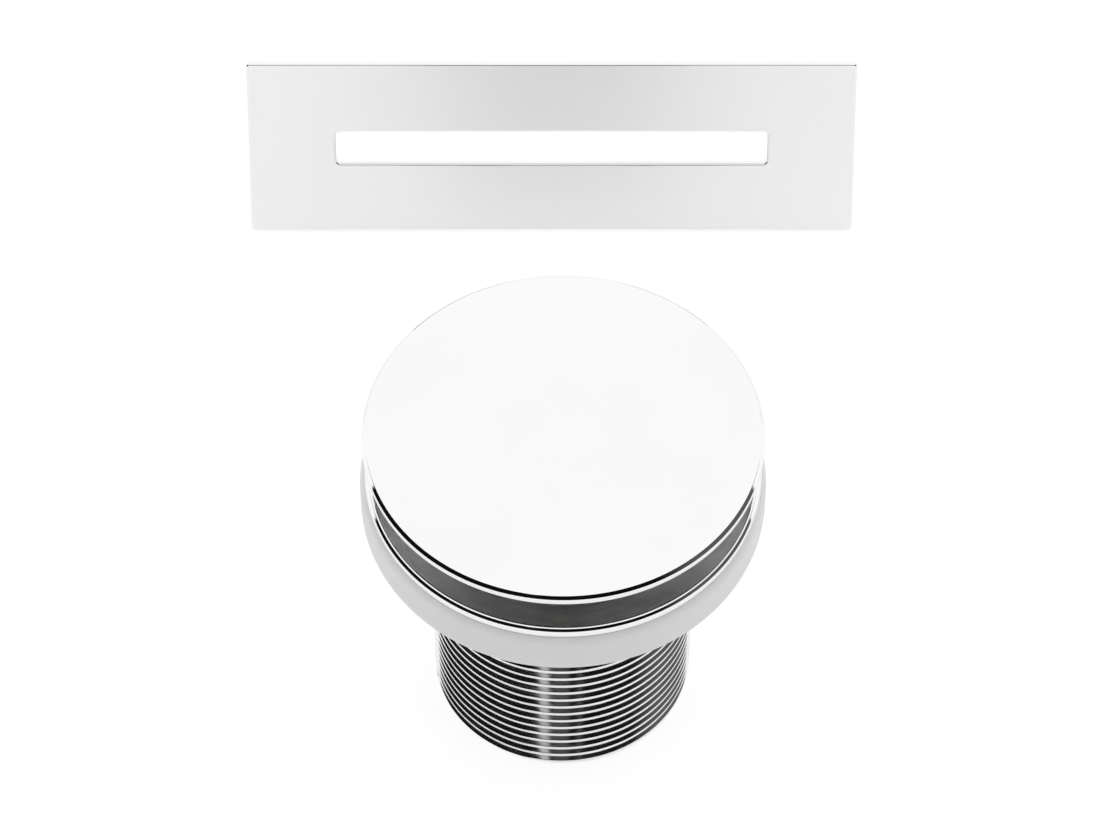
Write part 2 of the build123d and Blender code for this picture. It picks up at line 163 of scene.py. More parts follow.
class Finishes(bpy.types.PropertyGroup):
    """Colours of the finishes."""

    chrome: colour("Chrome", "Polished chrome plate", (0.957, 0.958, 0.958))
    satin: colour("Satin chrome", "Face of the overflow cover", (0.985, 0.986, 0.986))
    nickel: colour("Nickel", "Turned and nickel plated cartridge", (0.70, 0.695, 0.675))
    steel: colour("Steel", "Drawn spring steel", (0.52, 0.53, 0.55))
    pale_rubber: colour("Pale rubber", "Flange gasket", (0.92, 0.92, 0.915))
    black_rubber: colour("Black rubber", "Seals and grips", (0.018, 0.018, 0.019))
    black_plastic: colour("Black plastic", "Seal carrier", (0.022, 0.022, 0.023))
    pale_plastic: colour("Pale plastic", "Index rotor", (0.78, 0.75, 0.66))
    white_plastic: colour("White plastic", "Overflow duct", (0.86, 0.86, 0.85))
    fibre: colour("Fibre", "Barrel washer", (0.42, 0.10, 0.06))


class Studio(bpy.types.PropertyGroup):
    """Camera, floor and light."""

    camera_at: FloatVectorProperty(
        name="Camera", description="Where the camera stands", size=3,
        default=(-0.0023243, -0.459367, 0.694406), precision=5, subtype="TRANSLATION", unit="LENGTH",
    )
    camera_tilt: FloatProperty(
        name="Camera tilt", description="Turn of the camera up from straight down",
        default=math.radians(36.665), subtype="ANGLE",
    )
    focal: FloatProperty(name="Focal length", description="Lens on a 36 mm sensor, in mm", default=144.16)
    floor_size: length("Floor", "Side of the floor", 6.0)
    white: amount("White level", "Brightness of the white studio round the part", 1.0)
    dark: amount("Dark level", "Brightness of the dark area over the front", 0.004)


# Surfaces


def unit(vectors):
    """Each row divided by its length."""
    return vectors / np.maximum(np.linalg.norm(vectors, axis=-1, keepdims=True), 1e-12)


def rounded(corners, radii, steps=6):
    """A closed outline with an arc at each corner, and a point on the straights close beside every arc.

    An arc of radius q at a corner of half angle h has its centre q / sin(h) along the bisector and
    turns through 180 degrees less twice h.
    """
    corners = np.asarray(corners, float)
    radii = np.asarray(radii, float)
    back = unit(np.roll(corners, 1, 0) - corners)
    ahead = unit(np.roll(corners, -1, 0) - corners)
    half = np.arccos(np.clip((back * ahead).sum(1), -1, 1)) / 2
    bisector = unit(back + ahead)
    across = unit(ahead - back)
    centre = corners + bisector * (radii / np.sin(half))[:, None]
    turn = np.linspace(-1, 1, steps + 1) * (np.pi / 2 - half)[:, None]
    spokes = np.sin(turn)[..., None] * across[:, None] - np.cos(turn)[..., None] * bisector[:, None]
    arcs = centre[:, None] + radii[:, None, None] * spokes
    guard = 0.2 * radii[:, None]
    rows = [(arcs[:, 0] + back * guard)[:, None], arcs, (arcs[:, -1] + ahead * guard)[:, None]]
    points = np.concatenate(rows, 1).reshape(-1, 2)
    step = np.linalg.norm(points - np.roll(points, 1, 0), axis=1)
    return points[step > 1e-8]


def skin(points, ring=False):
    """Vertices and faces over a grid of points whose columns close round.

    The rows close in a ring, or each end row is closed by a fan about its mean. Faces are turned to
    point out, by the sign of the enclosed volume.
    """
    rows, columns = points.shape[:2]
    index = np.arange(rows * columns).reshape(rows, columns)
    beside = np.roll(index, -1, 1)
    last = rows if ring else rows - 1
    above = np.roll(index, -1, 0)
    above_beside = np.roll(beside, -1, 0)
    quads = np.stack([index[:last], beside[:last], above_beside[:last], above[:last]], -1).reshape(-1, 4)
    vertices = points.reshape(-1, 3)
    fans = np.zeros((0, 3), int)
    if not ring:
        vertices = np.concatenate([vertices, points[0].mean(0)[None], points[-1].mean(0)[None]])
        pole = np.full(columns, rows * columns)
        low = np.stack([beside[0], index[0], pole], -1)
        high = np.stack([index[-1], beside[-1], pole + 1], -1)
        fans = np.concatenate([low, high])
    corners = vertices[np.concatenate([quads[:, :3], quads[:, [0, 2, 3]], fans])]
    volume = (corners[:, 0] * np.cross(corners[:, 1], corners[:, 2])).sum()
    if volume < 0:
        quads, fans = quads[:, ::-1], fans[:, ::-1]
    return vertices, quads, fans


def lathe(profile, columns=192, across=None):
    """A profile of (radius, height) points turned about Z: x = r cos a, y = r sin a, z = height.

    Given a size across flats, each radius is held inside the hexagon's radius, half that size over
    cos(a mod 60 - 30). A profile that starts and ends on the axis closes in two poles.
    """
    solid = profile[0, 0] < 1e-9
    rows = profile[1:-1] if solid else profile
    angle = np.arange(columns) * (2 * np.pi / columns)
    radius = np.repeat(rows[:, :1], columns, 1)
    if across:
        radius = np.minimum(radius, across / 2 / np.cos(angle % (2 * HEX_HALF) - HEX_HALF))
    height = np.repeat(rows[:, 1:], columns, 1)
    return skin(np.stack([radius * np.cos(angle), radius * np.sin(angle), height], -1), not solid)


def frames_along(path):
    """Two unit vectors square to a path at each of its points: level and sideways, then upright."""
    along = unit(np.gradient(path, axis=0))
    side = unit(np.cross(along, (0.0, 0.0, 1.0)))
    return side, np.cross(side, along)


def thread(outer_r, root_r, pitch, crest, low, high, end, chamfer, steps=144):
    """A right-hand ridge wound round Z.

    Its section is a flat crest on two leaning flanks, carried along a helix that rises one pitch a
    turn; its depth grows from nothing over the first and last half turn. What would pass the end is
    squeezed to a hundredth of its height above the end, and the end's chamfer cuts the ridge.
    """
    depth = outer_r - root_r
    flat = crest * pitch / 2
    foot = flat + depth * math.tan(FLANK)
    soft = 0.25 * flat
    drop = 0.3 * soft
    sunk = 0.3 * MM
    run_out, squeeze = 0.5, 0.01
    section = np.array(
        [
            (-sunk, -foot), (0.0, -foot), (depth - soft, -flat - drop), (depth, -flat + soft),
            (depth, flat - soft), (depth - soft, flat + drop), (0.0, foot), (-sunk, foot),
        ]
    )
    turns = (high - low) / pitch
    turn = np.linspace(0, turns, int(turns * steps))[:, None]
    grown = np.clip(np.minimum(turn, turns - turn) / run_out, 0, 1)
    height = low + turn * pitch + section[:, 1]
    height = np.maximum(height, end + squeeze * (height - height.min()))
    radius = root_r + np.where(section[:, 0] > 0, section[:, 0] * grown, section[:, 0])
    radius = np.minimum(radius, outer_r - chamfer + height - end)
    angle = 2 * np.pi * turn
    return skin(np.stack([radius * np.cos(angle), radius * np.sin(angle), height], -1))


def spoke(out, side, up, turn):
    """A section carried outwards along a radius: out along it, side square to it and level, up along Z."""
    x = out * math.cos(turn) - side * math.sin(turn)
    y = out * math.sin(turn) + side * math.cos(turn)
    return skin(np.stack(np.broadcast_arrays(x, y, up), -1))


def spider_arm(sizes, turn):
    """A cast arm from the hub to the bore: a rounded section carried outwards along a radius.

    From a point along the way its half width is flared by the square of the rest of the way.
    """
    flare, flare_from = 0.45, 0.6
    inner, outer = sizes.hub_r - 2 * MM, sizes.bore_r + 1 * MM
    way = np.linspace(0, 1, 12)[:, None]
    section = rounded([(1, -1), (1, 1), (-1, 1), (-1, -1)], [0.12, 0.5, 0.5, 0.12], 5)
    flared = np.clip((way - flare_from) / (1 - flare_from), 0, 1)
    half = sizes.arm_width / 2 * (1 + flare * flared**2)
    up = sizes.hub_z + sizes.hub_height * (0.5 + 0.5 * section[:, 1])
    return spoke(inner + way * (outer - inner), half * section[:, 0], up, turn)


def coil(wire_r, middle_r, low, high, turns, steps=72, sides=14):
    """Round wire wound up Z, with its first and last turns closed down.

    The centre climbs by a ramp, three parts straight and one part eased, that is held level over the
    first and last half turn.
    """
    eased, level = 0.25, 0.5
    turn = np.linspace(0, turns, int(turns * steps))
    ramp = np.clip((turn - level) / (turns - 2 * level), 0, 1)
    ramp = (1 - eased) * ramp + eased * ramp * ramp * (3 - 2 * ramp)
    angle = 2 * np.pi * turn
    rise = low + wire_r + ramp * (high - low - 2 * wire_r)
    middle = np.stack([middle_r * np.cos(angle), middle_r * np.sin(angle), rise], -1)
    side, up = frames_along(middle)
    about = np.arange(sides) * (2 * np.pi / sides)
    wire = np.cos(about)[:, None] * side[:, None] + np.sin(about)[:, None] * up[:, None]
    return skin(middle[:, None] + wire_r * wire)


def leaning(across, up, back):
    """Points of the leaning cover: across it, up along its front and back behind its front."""
    sizes = bpy.context.scene.overflow_sizes
    behind = np.array(SPIGOT["axis"])
    along = np.array([0.0, -behind[2], behind[1]])
    depth = sizes.plate_thickness + sizes.duct_length
    foot = np.array(SPIGOT["pos_m"]) - behind * depth - along * sizes.duct_middle
    points = np.array([1.0, 0.0, 0.0]) * across[..., None] + along * up[..., None]
    return foot + points + behind * back[..., None]


def loops(rows, steps=6):
    """A ring of rounded rectangles on the leaning cover.

    Each row gives width, height, corner radius, height of the middle and depth; a corner's points are
    its centre plus the corner radius at angles through a right angle.
    """
    width, height, corner, middle, depth = np.asarray(rows, float).T[:, :, None]
    angle = (np.linspace(0, np.pi / 2, steps + 1) + np.arange(4)[:, None] * np.pi / 2).ravel()
    sign_x = np.repeat([1, -1, -1, 1], steps + 1)
    sign_z = np.repeat([1, 1, -1, -1], steps + 1)
    x = sign_x * (width / 2 - corner) + corner * np.cos(angle)
    z = middle + sign_z * (height / 2 - corner) + corner * np.sin(angle)
    return skin(leaning(x, z, depth + 0 * x), True)


def duct_rows(sizes, outline):
    """Rows for loops: the duct's outer rectangle grown by the first number, at the depth of the second."""
    grow, depth = np.asarray(outline).T[:, :, None]
    base = np.array([sizes.duct_width, sizes.duct_height, sizes.duct_corner, sizes.duct_middle, 0.0])
    return base + grow * GROW + depth * SINK


def dish_slope(sizes):
    """Fall of the dish over its run, and the length of its wall for each unit of that run."""
    slope = sizes.dish_depth / (sizes.dish_r - sizes.bore_r)
    return slope, math.hypot(1, slope)


def hexagon_chamfer(across, steps=5):
    """Radii from a hexagon's flat to its corner, and the rise of a 30 degree chamfer at each."""
    flat = across / 2
    out = np.linspace(flat, flat / math.cos(HEX_HALF), steps)
    return out, (out - flat) * math.tan(HEX_HALF)


def nut_outline(across, low, high, bore):
    """Outline of a nut: chamfered corners and a bore with broken edges."""
    edge = 0.4 * MM
    out, fall = hexagon_chamfer(across)
    under = np.stack([out, low + fall], -1)
    over = np.stack([out, high - fall], -1)[::-1]
    inner = np.array([(bore + edge, high), (bore, high - edge), (bore, low + edge), (bore + edge, low)])
    return np.concatenate([under, over, inner])


def new_piece(name, shells, body, replaced, finishes, crease=30.0):
    """One object from shells of (vertices, quads, fans, finish number for each face or for all)."""
    vertices, faces, numbers, start = [], [], [], 0
    for points, quads, fans, number in shells:
        vertices.append(points)
        faces += (quads + start).tolist() + (fans + start).tolist()
        numbers.append(np.broadcast_to(number, len(quads) + len(fans)))
        start += len(points)
    mesh = bpy.data.meshes.new(name)
    mesh.from_pydata(np.concatenate(vertices).tolist(), [], faces)
    mesh.polygons.foreach_set("material_index", np.concatenate(numbers).astype(np.int32))
    mesh.shade_smooth()
    mesh.set_sharp_from_angle(angle=math.radians(crease))
    for finish in finishes:
        mesh.materials.append(bpy.data.materials[finish])
    mesh.update()
    made = bpy.data.objects.new(name, mesh)
    bpy.context.scene.collection.objects.link(made)
    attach(made, body)
    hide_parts(*replaced)
    return made


def turned_piece(name, corners, rounds, body, replaced, finish, steps=6):
    """A piece turned from one outline, whose corner radii are given in millimetres."""
    shell = lathe(rounded(corners, np.array(rounds) * MM, steps))
    new_piece(name, [(*shell, 0)], body, replaced, [finish])


# Finishes


class Wiring:
    """Adds nodes to a tree. A number or colour is set on an input, and a socket is linked to it."""

    def __init__(self, tree):
        self.tree = tree
        tree.nodes.clear()

    def add(self, kind, inputs=None, **settings):
        """A node with its settings and inputs."""
        made = self.tree.nodes.new(kind)
        for key, value in settings.items():
            setattr(made, key, value)
        for key, value in (inputs or {}).items():
            if isinstance(value, bpy.types.NodeSocket):
                self.tree.links.new(value, made.inputs[key])
            else:
                made.inputs[key].default_value = value
        return made

    def sum(self, operation, *values):
        """The result of a math node."""
        return self.add("ShaderNodeMath", dict(enumerate(values)), operation=operation).outputs[0]

    def ease(self, value, low, high, start=0.0, end=1.0):
        """A value eased from one level to another between two marks."""
        inputs = {"Value": value, "From Min": low, "From Max": high, "To Min": start, "To Max": end}
        return self.add("ShaderNodeMapRange", inputs, interpolation_type="SMOOTHSTEP").outputs["Result"]

    def spread(self, value, low, high):
        """A value from 0 to 1 spread between two levels."""
        inputs = {"Value": value, "To Min": low, "To Max": high}
        return self.add("ShaderNodeMapRange", inputs).outputs["Result"]


def new_group(name, inputs):
    """A shader node group with named number inputs, for one mask."""
    group = bpy.data.node_groups.new(name, "ShaderNodeTree")
    wires = Wiring(group)
    for label, value in inputs.items():
        socket = group.interface.new_socket(label, in_out="INPUT", socket_type="NodeSocketFloat")
        socket.default_value = value
    group.interface.new_socket("Mask", in_out="OUTPUT", socket_type="NodeSocketFloat")
    return wires, wires.add("NodeGroupInput").outputs


def give_mask(wires, noise):
    """Stretches the middle of a noise to run from 0 to 1, and puts it out as the group's mask."""
    wires.add("NodeGroupOutput", {"Mask": wires.ease(noise.outputs["Fac"], 0.3, 0.7)})


def make_mottle():
    """Cloudy variation in space: noise at a scale."""
    wires, given = new_group("cloudy_mottle", {"Scale": 100.0, "Detail": 3.0})
    place = wires.add("ShaderNodeTexCoord").outputs["Object"]
    inputs = {"Vector": place, "Scale": given["Scale"], "Detail": given["Detail"]}
    give_mask(wires, wires.add("ShaderNodeTexNoise", inputs))


def make_turning():
    """Lathe marks round Z: noise read at the distance from the axis plus the height, hardly at the angle."""
    wires, given = new_group("lathe_marks", {"Lines": 3000.0, "Drift": 30.0})
    place = wires.add("ShaderNodeTexCoord").outputs["Object"]
    axes = wires.add("ShaderNodeSeparateXYZ", {0: place}).outputs
    square = wires.sum("ADD", wires.sum("POWER", axes["X"], 2.0), wires.sum("POWER", axes["Y"], 2.0))
    radius = wires.sum("SQRT", square)
    lines = wires.sum("MULTIPLY", wires.sum("ADD", radius, axes["Z"]), given["Lines"])
    across = wires.sum("MULTIPLY", axes["X"], given["Drift"])
    along = wires.sum("MULTIPLY", axes["Y"], given["Drift"])
    vector = wires.add("ShaderNodeCombineXYZ", {"X": lines, "Y": across, "Z": along}).outputs[0]
    inputs = {"Vector": vector, "Scale": 1.0, "Detail": 4.0, "Roughness": 0.65}
    give_mask(wires, wires.add("ShaderNodeTexNoise", inputs))


def group_node(wires, name, **inputs):
    """A shared group placed in a material."""
    made = wires.add("ShaderNodeGroup", node_tree=bpy.data.node_groups[name])
    for key, value in inputs.items():
        made.inputs[key].default_value = value
    return made.outputs["Mask"]


def finish(name, tint, shade, rough, metallic=0.0, marks=None, mottle=120.0, bump=0.0, grain=2500.0):
    """A material whose colour runs from a shade of its tint to the tint, and its roughness over a range.

    Lathe marks, where given, drive the roughness and the bump; otherwise mottle and a fine grain do.
    """
    material = bpy.data.materials.new(name)
    material.use_nodes = True
    wires = Wiring(material.node_tree)
    cloud = group_node(wires, "cloudy_mottle", Scale=mottle)
    if marks:
        fine = group_node(wires, "lathe_marks", **marks)
        blend = wires.sum("MULTIPLY", wires.sum("ADD", cloud, fine), 0.5)
    else:
        fine = group_node(wires, "cloudy_mottle", Scale=grain)
        blend = cloud
    dark = (*(shade * c for c in tint), 1.0)
    mixed = wires.add("ShaderNodeMix", {"Factor": blend, "A": dark, "B": (*tint, 1.0)}, data_type="RGBA")
    inputs = {
        "Base Color": mixed.outputs["Result"],
        "Roughness": wires.spread(fine if marks else cloud, *rough),
        "Metallic": metallic,
    }
    if bump:
        raised = wires.add("ShaderNodeBump", {"Height": fine, "Distance": bump, "Strength": 1.0})
        inputs["Normal"] = raised.outputs["Normal"]
    shader = wires.add("ShaderNodeBsdfPrincipled", inputs)
    wires.add("ShaderNodeOutputMaterial", {"Surface": shader.outputs["BSDF"]})


# Operators


class MakeFinishes(bpy.types.Operator):
    """Makes the shared effects and every finish, and gives the carried-over CAD nodes theirs."""

    bl_idname = "bath.finishes"
    bl_label = "Finishes"

    def execute(self, context):
        tints = context.scene.bath_finishes
        make_mottle()
        make_turning()
        self.metals(tints)
        self.mouldings(tints)
        kept = {
            "push_stem": "turned_nickel",
            "index_rotor": "moulded_pale_plastic",
            "spring_seat": "drawn_steel",
            "stem_wiper": "moulded_black_rubber",
        }
        for node, name in kept.items():
            materials = frame["nodes"][node].data.materials
            materials.clear()
            materials.append(bpy.data.materials[name])
        return {"FINISHED"}

    def metals(self, tints):
        """Plated and bare metals, polished, satin, turned or drawn."""
        dish_marks = {"Lines": 2600.0, "Drift": 60.0}
        thread_marks = {"Lines": 4000.0, "Drift": 90.0}
        nickel_marks = {"Lines": 5000.0, "Drift": 40.0}
        finish("polished_chrome", tints.chrome, 0.985, (0.02, 0.05), 1.0, mottle=60.0)
        finish("plate_chrome", tints.satin, 0.99, (0.34, 0.38), 1.0, mottle=40.0)
        finish("turned_chrome", tints.chrome, 0.6, (0.28, 0.5), 1.0, dish_marks, bump=4e-6)
        finish("thread_chrome", tints.chrome, 0.92, (0.08, 0.16), 1.0, thread_marks)
        finish("turned_nickel", tints.nickel, 0.85, (0.32, 0.5), 1.0, nickel_marks, bump=3e-6)
        finish("drawn_steel", tints.steel, 0.8, (0.2, 0.36), 1.0, mottle=900.0)

    def mouldings(self, tints):
        """Rubbers, plastics and pressed fibre, each with its mottle, bump and grain."""
        for name, tint, shade, rough, mottle, bump, grain in (
            ("moulded_pale_rubber", tints.pale_rubber, 0.97, (0.5, 0.62), 90.0, 6e-6, 4000.0),
            ("moulded_black_rubber", tints.black_rubber, 0.7, (0.5, 0.7), 300.0, 8e-6, 3500.0),
            ("moulded_black_plastic", tints.black_plastic, 0.8, (0.32, 0.45), 200.0, 5e-6, 5000.0),
            ("moulded_pale_plastic", tints.pale_plastic, 0.92, (0.35, 0.45), 200.0, 0.0, 2500.0),
            ("moulded_white_plastic", tints.white_plastic, 0.97, (0.34, 0.46), 120.0, 5e-6, 3000.0),
            ("red_fibre", tints.fibre, 0.6, (0.7, 0.85), 1500.0, 2e-5, 2200.0),
        ):
            finish(name, tint, shade, rough, mottle=mottle, bump=bump, grain=grain)


class MakeWaste(bpy.types.Operator):
    """Turns the waste's body, winds its thread and casts its spider."""

    bl_idname = "bath.waste"
    bl_label = "Waste body"

    def execute(self, context):
        s = context.scene.waste_sizes
        shells = [self.body(s), self.ridge(s), self.hub(s)]
        shells += [(*spider_arm(s, turn), 1) for turn in QUARTERS]
        finishes = ["polished_chrome", "turned_chrome", "thread_chrome"]
        new_piece("waste_turning", shells, FIXED, ["waste_body"], finishes, 26.0)
        return {"FINISHED"}

    def body(self, s):
        """Tail, neck, dished flange and beaded rim; the dish and the bore show the lathe's marks."""
        slope, slant = dish_slope(s)
        step = s.wall * slant
        rim_z, rim_r = BODY_TOP.z, BODY_TOP.x
        under_z = rim_z - s.rim_edge
        neck_z, shoulder = GASKET_LOW.z, 0.5 * MM
        bead = ((0.0, 0.92), (0.2, 0.48), (0.62, 0.1), (0.85, 0.0))  # shares in from the rim and down
        outline = [
            (s.bore_r, 0),
            (s.root_r, 0),
            (s.root_r, neck_z - shoulder),
            (s.neck_r, neck_z),
            (s.neck_r, rim_z - (s.dish_r - s.neck_r) * slope - step),
            (s.dish_r - (s.rim_edge - step) / slope, under_z),
            (rim_r, under_z),
            *((rim_r - share * s.bead, rim_z - down * s.bead) for share, down in bead),
            (s.dish_r, rim_z),
            (s.bore_r, rim_z - s.dish_depth),
        ]
        rounds = np.array([0.3, 0.2, 0, 0, 0, 0, 0.3, 0.6, 0.3, 0.3, 0.3, 0.1, s.throat_round / MM]) * MM
        vertices, quads, fans = lathe(rounded(outline, rounds, 8))
        middle = vertices[quads].mean(1)
        radius = np.hypot(middle[:, 0], middle[:, 1])
        dish = (radius < s.dish_r - 0.3 * MM) & (middle[:, 2] > neck_z)
        bore = radius < s.bore_r + 0.2 * MM
        return vertices, quads, fans, np.where(dish | bore, 1, 0)

    def ridge(self, s):
        """The tail's thread, from below its end to inside the gasket."""
        ends = (-0.4 * s.pitch, GASKET_LOW.z + 0.8 * MM)
        return *thread(s.thread_r, s.root_r, s.pitch, s.crest, *ends, 0.0, 0.6 * MM), 2

    def hub(self, s):
        """The spider's hub, with a hole for the cartridge's shank."""
        low, high = s.hub_z, s.hub_z + s.hub_height
        outline = [(SHANK_HOLE, low), (s.hub_r, low), (s.hub_r, high), (SHANK_HOLE, high)]
        return *lathe(rounded(outline, np.array([0.3, 0.6, 0.8, 0.3]) * MM), 96), 1


class MakeGasket(bpy.types.Operator):
    """Moulds the pale gasket under the flange."""

    bl_idname = "bath.gasket"
    bl_label = "Flange gasket"

    def execute(self, context):
        s = context.scene.waste_sizes
        slope, slant = dish_slope(s)
        step = (s.wall + FIT) * slant
        low, high, out = GASKET_LOW.z, GASKET_TOP.z, GASKET_TOP.x
        bore = s.thread_r + 0.3 * MM
        outline = [
            (bore, low),
            (out, low),
            (out, high),
            (s.dish_r - (BODY_TOP.z - high - step) / slope, high),
            (bore, BODY_TOP.z - (s.dish_r - bore) * slope - step),
        ]
        rounds = [0.3, s.gasket_foot / MM, s.gasket_top / MM, 0.1, 0.3]
        replaced, look = ["flange_gasket"], "moulded_pale_rubber"
        turned_piece("gasket_ring", outline, rounds, FIXED, replaced, look, 10)
        return {"FINISHED"}


class MakePlug(bpy.types.Operator):
    """Turns the plug's disc and moulds the carrier and seal under it."""

    bl_idname = "bath.plug"
    bl_label = "Plug"
    boss = 7.5 * MM
    groove = CARRIER_TOP.x - 2.4 * MM
    carrier_z = (CARRIER_LOW.z + CARRIER_TOP.z) / 2

    def execute(self, context):
        s = context.scene.waste_sizes
        self.disc(s)
        self.carrier()
        self.seal(s)
        return {"FINISHED"}

    def disc(self, s):
        """A flat disc with a bevelled upper edge, on a boss with a blind hole for the stem."""
        top, out = CAP_TOP.z, CAP_TOP.x
        under, roof = top - s.cap_thickness, top - 1.5 * MM
        outline = [
            (0, roof), (STEM_HOLE, roof), (STEM_HOLE, CAP_LOW.z), (self.boss, CAP_LOW.z),
            (self.boss, under), (out, under), (out, top - 0.93 * s.cap_bevel), (out - s.cap_bevel, top),
            (0, top),
        ]
        rounds = [0, 0, 0.2, 0.4, 0.3, 0.4, 0.25, 0.25, 0]
        turned_piece("cap_disc", outline, rounds, PLUG, ["plug_cap"], "polished_chrome", 10)

    def carrier(self):
        """A ring round the boss, with a groove in its edge for the seal's root."""
        low, high, edge = CARRIER_LOW.z, CARRIER_TOP.z, CARRIER_TOP.x
        bore, half = self.boss + FIT, 0.8 * MM
        under, over = self.carrier_z - half, self.carrier_z + half
        outline = [
            (bore, low), (edge, low), (edge, under), (self.groove, under),
            (self.groove, over), (edge, over), (edge, high), (bore, high),
        ]
        rounds = [0.4, 0.4, 0.15, 0, 0, 0.15, 0.2, 0.2]
        replaced, look = ["seal_carrier"], "moulded_black_plastic"
        turned_piece("carrier_ring", outline, rounds, PLUG, replaced, look)

    def seal(self, s):
        """A ring rooted in the carrier's groove, whose lip lies along the dish when the plug is shut."""
        slope, slant = dish_slope(s)
        foot, top, out = SEAL_LOW.z, SEAL_TOP.z, SEAL_TOP.x
        clear, lip_width, half = 0.3 * MM, 1.4 * MM, 0.7 * MM
        lip_z = BODY_TOP.z - (s.dish_r - out) * slope + TRAVEL + clear * slant
        lip = out - (lip_z - foot) / slope
        root, inner = self.groove + FIT, CARRIER_TOP.x + FIT
        under, over = self.carrier_z - half, self.carrier_z + half
        outline = [
            (root, under), (inner, under), (lip - lip_width, foot), (lip, foot), (out, lip_z),
            (out, top), (inner, top), (inner, over), (root, over),
        ]
        rounds = [0.1, 0.2, 0.3, 0.5, 0.6, 0.4, 0.2, 0.1, 0.1]
        replaced, look = ["plug_seal"], "moulded_black_rubber"
        turned_piece("seal_ring", outline, rounds, PLUG, replaced, look)


class MakeNuts(bpy.types.Operator):
    """Makes the hexagon nuts, the gland and the washers."""

    bl_idname = "bath.nuts"
    bl_label = "Nuts and washers"

    def execute(self, context):
        for name, node, bore, body in (
            ("shank_nut", "cartridge_lock_nut", SHANK_HOLE, FIXED),
            ("stem_nut", "stem_lock_nut", STEM_HOLE, PLUG),
        ):
            low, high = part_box(node)
            across = 2 * high.y
            shell = lathe(nut_outline(across, low.z, high.z, bore), HEX_COLUMNS, across)
            new_piece(name, [(*shell, 0)], body, [node], ["turned_nickel"], HEX_CREASE)
        self.gland()
        for name, node, slot, look in (
            ("shank_washer", "cartridge_lock_washer", "steel", "drawn_steel"),
            ("seat_washer", "barrel_washer", "fibre", "red_fibre"),
        ):
            low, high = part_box(node)
            outline = [(SHANK_HOLE, low.z), (high.x, low.z), (high.x, high.z), (SHANK_HOLE, high.z)]
            turned_piece(name, outline, [0.2] * 4, FIXED, [node], look, 4)
        return {"FINISHED"}

    def gland(self):
        """A hexagon head on a sleeve with a groove inside for the stem's wiper."""
        low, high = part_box("barrel_gland")
        across, skirt, shoulder = 2 * high.y, 6.2 * MM, high.z - 3 * MM
        head = lathe(nut_outline(across, shoulder, high.z, STEM_HOLE), HEX_COLUMNS, across)
        wiper_low, wiper_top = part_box("stem_wiper")
        under, over = wiper_low.z - FIT, wiper_top.z + FIT
        groove, inside = wiper_top.x + FIT / 2, shoulder + 0.5 * MM
        outline = [
            (STEM_HOLE, low.z), (skirt, low.z), (skirt, inside), (STEM_HOLE, inside),
            (STEM_HOLE, over), (groove, over), (groove, under), (STEM_HOLE, under),
        ]
        tube = lathe(rounded(outline, np.array([0.2, 0.3, 0, 0, 0.1, 0.1, 0.1, 0.1]) * MM), 96)
        shells = [(*head, 0), (*tube, 0)]
        new_piece("gland_nut", shells, FIXED, ["barrel_gland"], ["turned_nickel"], HEX_CREASE)


class MakeBarrel(bpy.types.Operator):
    """Turns the cartridge's barrel with its hexagon foot, threaded shank and slanted guide ribs."""

    bl_idname = "bath.barrel"
    bl_label = "Cartridge barrel"
    foot = 19.5 * MM
    bore = 6.3 * MM
    root = 4.4 * MM

    def execute(self, context):
        low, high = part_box("cartridge_barrel")
        shells = [(*shell, 0) for shell in (self.body(low.z, high.z), self.ridge(low.z), *self.ribs())]
        replaced = ["cartridge_barrel"]
        new_piece("barrel_tube", shells, FIXED, replaced, ["turned_nickel"], HEX_CREASE)
        return {"FINISHED"}

    def body(self, low, high):
        """Shank, chamfered hexagon foot and tube; the hexagon is a hair larger than the tube."""
        tube, floor, hair = 8 * MM, 22.0 * MM, 1e-7
        hex_top, tube_low = self.foot + 5 * MM, self.foot + 5.4 * MM
        out, rise = hexagon_chamfer(2 * tube)
        outline = [
            (0, low), (self.root, low), (self.root, self.foot), *zip(out, self.foot + rise),
            (out[-1], hex_top), (tube, tube_low), (tube, high), (self.bore, high), (self.bore, floor),
            (0, floor),
        ]
        rounds = np.array([0, 0.3, 0, 0, 0, 0, 0, 0, 0.3, 0.1, 0.5, 0.3, 0.3, 0]) * MM
        return lathe(rounded(outline, rounds), HEX_COLUMNS, 2 * tube + hair)

    def ridge(self, low):
        """The shank's thread."""
        shank, pitch, crest = 5 * MM, 1.25 * MM, 0.2
        ends = (low + 0.45 * pitch, self.foot - 0.5 * pitch)
        return thread(shank, self.root, pitch, crest, *ends, low, 0.5 * MM, 72)

    def ribs(self):
        """Four ribs in the bore, slanted below, which steer the rotor's lugs."""
        half, slant = 1.8 * MM, 1.2 * MM
        rib_low = SPRING_TOP.z - 2.5 * MM
        rib_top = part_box("barrel_gland")[0].z - 0.3 * MM
        outline = [(-half, rib_low), (half, rib_low + slant), (half, rib_top), (-half, rib_top)]
        side, up = rounded(outline, np.full(4, 0.15 * MM), 3).T
        reach = np.array([[self.bore - 1.4 * MM], [self.bore + 0.8 * MM]])
        return [spoke(reach, side, up, turn) for turn in QUARTERS]


class MakeSpring(bpy.types.Operator):
    """Winds the return spring, on a mesh of its own."""

    bl_idname = "bath.spring"
    bl_label = "Return spring"

    def execute(self, context):
        wire, outer, turns = 0.45 * MM, 4.4 * MM, 6
        shell = coil(wire, outer - wire, SPRING_LOW.z, SPRING_TOP.z, turns)
        made = new_piece("spring_coil", [(*shell, 0)], FIXED, ["return_spring"], ["drawn_steel"])
        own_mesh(made)
        return {"FINISHED"}


